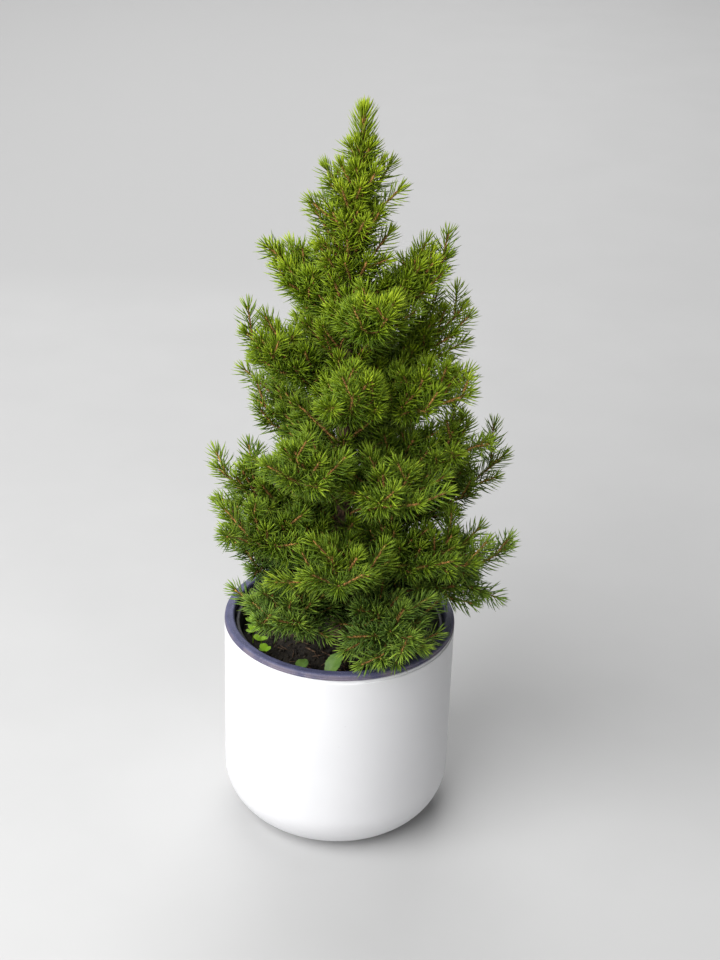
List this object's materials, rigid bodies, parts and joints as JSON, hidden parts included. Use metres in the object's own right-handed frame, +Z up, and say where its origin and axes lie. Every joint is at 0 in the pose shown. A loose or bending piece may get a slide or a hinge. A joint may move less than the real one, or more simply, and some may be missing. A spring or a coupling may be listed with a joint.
{
  "type": "tabletop tree",
  "caption": "Small potted conifer: conical needle crown on hinged wired branches, steel pole in a weighted lift-out tub, round-bottomed two-colour pot.",
  "frame": {"origin": "centre of the pot's flat base, on the table", "axes": "+Z up along the pot's axis to the crown, -Y towards the front, +X to the right"},
  "size_m": [0.1947, 0.1956, 0.483],
  "materials": {
    "pot_white": "satin",
    "liner_violet": "matte",
    "tub_black": "matte",
    "cement": "rough",
    "socket_plastic": "matte",
    "soil": "rough crumbs",
    "leaf_light": "satin",
    "leaf_mid": "satin",
    "pole_steel": "plain",
    "bark": "rough bark",
    "twig": "wrapped",
    "needles_top": "satin",
    "needles_high": "satin",
    "needles_mid": "satin",
    "needles_low": "satin"
  },
  "bodies": {
    "planter": {"outer_pot": "pot_white", "pot_liner": "liner_violet"},
    "insert": {"grow_pot": "tub_black", "cement_weight": "cement", "pole_socket": "socket_plastic", "soil_fill": "soil", "clover_sprigs": "leaf_light", "broad_leaves": "leaf_mid"},
    "tree": {"centre_pole": "pole_steel", "trunk_bark": "bark", "leader_stem": "twig", "leader_tips": "needles_top"},
    "branch_01": {"branch_01_stem": "twig", "branch_01_tips": "needles_low"},
    "branch_02": {"branch_02_stem": "twig", "branch_02_tips": "needles_low"},
    "branch_03": {"branch_03_stem": "twig", "branch_03_tips": "needles_low"},
    "branch_04": {"branch_04_stem": "twig", "branch_04_tips": "needles_low"},
    "branch_05": {"branch_05_stem": "twig", "branch_05_tips": "needles_low"},
    "branch_06": {"branch_06_stem": "twig", "branch_06_tips": "needles_mid"},
    "branch_07": {"branch_07_stem": "twig", "branch_07_tips": "needles_mid"},
    "branch_08": {"branch_08_stem": "twig", "branch_08_tips": "needles_mid"},
    "branch_09": {"branch_09_stem": "twig", "branch_09_tips": "needles_mid"},
    "branch_10": {"branch_10_stem": "twig", "branch_10_tips": "needles_mid"},
    "branch_11": {"branch_11_stem": "twig", "branch_11_tips": "needles_mid"},
    "branch_12": {"branch_12_stem": "twig", "branch_12_tips": "needles_mid"},
    "branch_13": {"branch_13_stem": "twig", "branch_13_tips": "needles_mid"},
    "branch_14": {"branch_14_stem": "twig", "branch_14_tips": "needles_mid"},
    "branch_15": {"branch_15_stem": "twig", "branch_15_tips": "needles_mid"},
    "branch_16": {"branch_16_stem": "twig", "branch_16_tips": "needles_mid"},
    "branch_17": {"branch_17_stem": "twig", "branch_17_tips": "needles_high"},
    "branch_18": {"branch_18_stem": "twig", "branch_18_tips": "needles_high"},
    "branch_19": {"branch_19_stem": "twig", "branch_19_tips": "needles_high"},
    "branch_20": {"branch_20_stem": "twig", "branch_20_tips": "needles_high"},
    "branch_21": {"branch_21_stem": "twig", "branch_21_tips": "needles_high"},
    "branch_22": {"branch_22_stem": "twig", "branch_22_tips": "needles_high"},
    "branch_23": {"branch_23_stem": "twig", "branch_23_tips": "needles_high"},
    "branch_24": {"branch_24_stem": "twig", "branch_24_tips": "needles_high"}
  },
  "joints": [
    {"name": "insert_lift", "type": "slide", "parent": "planter", "child": "insert", "axis": [0, 0, 1], "range_m": [0, 0.15]},
    {"name": "tree_turn", "type": "hinge", "parent": "insert", "child": "tree", "pos_m": [0, 0, 0.01385], "axis": [0, 0, 1], "continuous": true},
    {"name": "branch_01_bend", "type": "hinge", "parent": "tree", "child": "branch_01", "pos_m": [0.00394, -0.00682, 0.15001], "axis": [-0.866, -0.5, 0], "range_deg": [-8, 9]},
    {"name": "branch_02_bend", "type": "hinge", "parent": "tree", "child": "branch_02", "pos_m": [-0.00404, -0.00672, 0.15356], "axis": [-0.8572, 0.515, 0], "range_deg": [-8, 10]},
    {"name": "branch_03_bend", "type": "hinge", "parent": "tree", "child": "branch_03", "pos_m": [-0.00762, 0.0019, 0.15214], "axis": [0.2419, 0.9703, 0], "range_deg": [-8, 12]},
    {"name": "branch_04_bend", "type": "hinge", "parent": "tree", "child": "branch_04", "pos_m": [0.00055, 0.00786, 0.15001], "axis": [0.9976, -0.0698, 0], "range_deg": [-8, 12]},
    {"name": "branch_05_bend", "type": "hinge", "parent": "tree", "child": "branch_05", "pos_m": [0.00781, -0.00027, 0.15569], "axis": [-0.0349, -0.9994, 0], "range_deg": [-8, 7]},
    {"name": "branch_06_bend", "type": "hinge", "parent": "tree", "child": "branch_06", "pos_m": [0, -0.00744, 0.18977], "axis": [-1, 0, 0], "range_deg": [-8, 12]},
    {"name": "branch_07_bend", "type": "hinge", "parent": "tree", "child": "branch_07", "pos_m": [0.00613, -0.00414, 0.19403], "axis": [-0.5592, -0.829, 0], "range_deg": [-8, 12]},
    {"name": "branch_08_bend", "type": "hinge", "parent": "tree", "child": "branch_08", "pos_m": [0.00695, 0.00239, 0.19793], "axis": [0.3256, -0.9455, 0], "range_deg": [-8, 9]},
    {"name": "branch_09_bend", "type": "hinge", "parent": "tree", "child": "branch_09", "pos_m": [-0.00276, 0.00684, 0.19616], "axis": [0.9272, 0.3746, 0], "range_deg": [-8, 12]},
    {"name": "branch_10_bend", "type": "hinge", "parent": "tree", "child": "branch_10", "pos_m": [-0.0073, 0.00038, 0.20184], "axis": [0.0523, 0.9986, 0], "range_deg": [-8, 12]},
    {"name": "branch_11_bend", "type": "hinge", "parent": "tree", "child": "branch_11", "pos_m": [-0.00538, -0.00502, 0.19758], "axis": [-0.682, 0.7314, 0], "range_deg": [-8, 12]},
    {"name": "branch_12_bend", "type": "hinge", "parent": "tree", "child": "branch_12", "pos_m": [0.00344, -0.00596, 0.24195], "axis": [-0.866, -0.5, 0], "range_deg": [-8, 12]},
    {"name": "branch_13_bend", "type": "hinge", "parent": "tree", "child": "branch_13", "pos_m": [-0.00255, -0.00631, 0.24799], "axis": [-0.9272, 0.3746, 0], "range_deg": [-8, 12]},
    {"name": "branch_14_bend", "type": "hinge", "parent": "tree", "child": "branch_14", "pos_m": [0.00675, -0.00107, 0.24586], "axis": [-0.1564, -0.9877, 0], "range_deg": [-8, 10]},
    {"name": "branch_15_bend", "type": "hinge", "parent": "tree", "child": "branch_15", "pos_m": [0.00362, 0.0058, 0.24586], "axis": [0.848, -0.5299, 0], "range_deg": [-8, 12]},
    {"name": "branch_16_bend", "type": "hinge", "parent": "tree", "child": "branch_16", "pos_m": [-0.00488, 0.00472, 0.25012], "axis": [0.6947, 0.7193, 0], "range_deg": [-8, 12]},
    {"name": "branch_17_bend", "type": "hinge", "parent": "tree", "child": "branch_17", "pos_m": [0.00044, -0.00634, 0.28988], "axis": [-0.9976, -0.0698, 0], "range_deg": [-8, 12]},
    {"name": "branch_18_bend", "type": "hinge", "parent": "tree", "child": "branch_18", "pos_m": [0.00557, -0.00296, 0.29414], "axis": [-0.4695, -0.8829, 0], "range_deg": [-8, 12]},
    {"name": "branch_19_bend", "type": "hinge", "parent": "tree", "child": "branch_19", "pos_m": [0.00561, 0.00274, 0.30017], "axis": [0.4384, -0.8988, 0], "range_deg": [-8, 12]},
    {"name": "branch_20_bend", "type": "hinge", "parent": "tree", "child": "branch_20", "pos_m": [-0.00214, 0.00589, 0.29804], "axis": [0.9397, 0.342, 0], "range_deg": [-8, 12]},
    {"name": "branch_21_bend", "type": "hinge", "parent": "tree", "child": "branch_21", "pos_m": [-0.00604, -0.00151, 0.30195], "axis": [-0.2419, 0.9703, 0], "range_deg": [-8, 12]},
    {"name": "branch_22_bend", "type": "hinge", "parent": "tree", "child": "branch_22", "pos_m": [0.00235, -0.00529, 0.34207], "axis": [-0.9135, -0.4067, 0], "range_deg": [-8, 12]},
    {"name": "branch_23_bend", "type": "hinge", "parent": "tree", "child": "branch_23", "pos_m": [0.00571, 0.0006, 0.34597], "axis": [0.1045, -0.9945, 0], "range_deg": [-8, 12]},
    {"name": "branch_24_bend", "type": "hinge", "parent": "tree", "child": "branch_24", "pos_m": [-0.00538, 0.00196, 0.3481], "axis": [0.342, 0.9397, 0], "range_deg": [-8, 12]}
  ]
}
